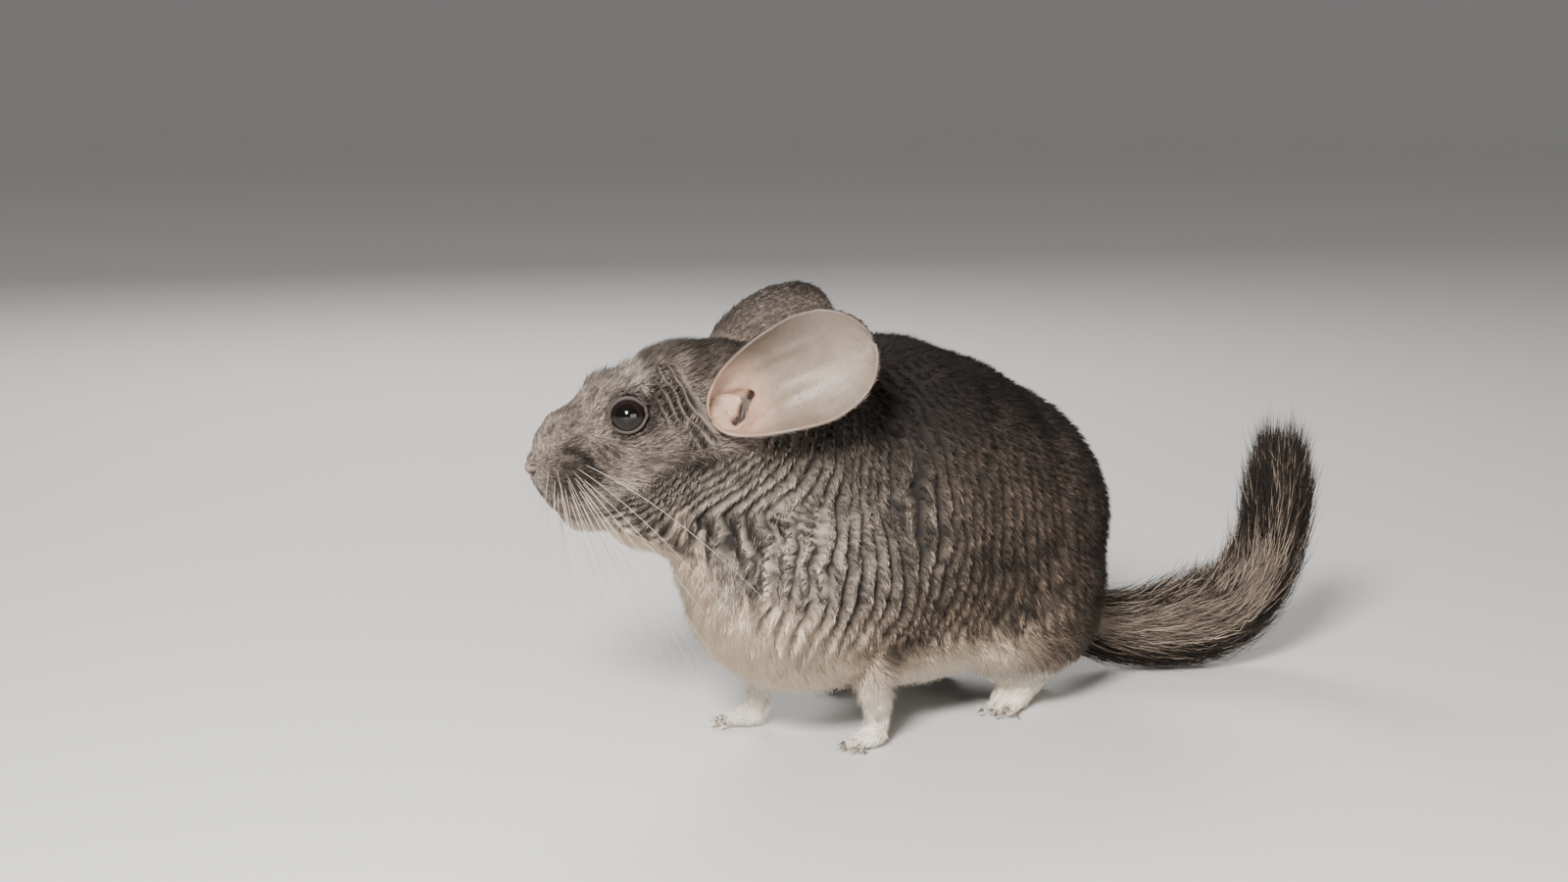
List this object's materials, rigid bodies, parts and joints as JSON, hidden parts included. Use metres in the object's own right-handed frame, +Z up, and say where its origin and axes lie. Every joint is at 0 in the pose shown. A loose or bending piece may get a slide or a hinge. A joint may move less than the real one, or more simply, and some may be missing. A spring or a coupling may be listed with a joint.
{
  "type": "chinchilla",
  "caption": "Life-size still model of an adult grey chinchilla on all fours, head turned to its right, large cupped ears and a bristly tail that curls up, for display.",
  "frame": {"origin": "middle of the bottom of the bounding box, on the floor", "axes": "+Z up; the body lies along X with the head towards -X and the tail towards +X; +Y is the animal's right side"},
  "size_m": [0.3246, 0.1456, 0.169],
  "materials": {
    "grey_coat": "fur",
    "face_coat": "short fur",
    "white_coat": "short fur",
    "ear_skin": "thin bare skin",
    "eye_black": "gloss",
    "tail_coat": "bristly fur"
  },
  "bodies": {
    "root": {"head": "face_coat", "neck": "grey_coat", "torso": "grey_coat", "thigh_left": "grey_coat", "thigh_right": "grey_coat", "ear_left": "ear_skin", "ear_right": "ear_skin", "eye_left": "eye_black", "eye_right": "eye_black", "foreleg_left": "white_coat", "foreleg_right": "white_coat", "forepaw_left": "white_coat", "forepaw_right": "white_coat", "hindfoot_left": "white_coat", "hindfoot_right": "white_coat", "tail_base": "tail_coat", "tail_middle": "tail_coat", "tail_tip": "tail_coat"}
  },
  "joints": []
}
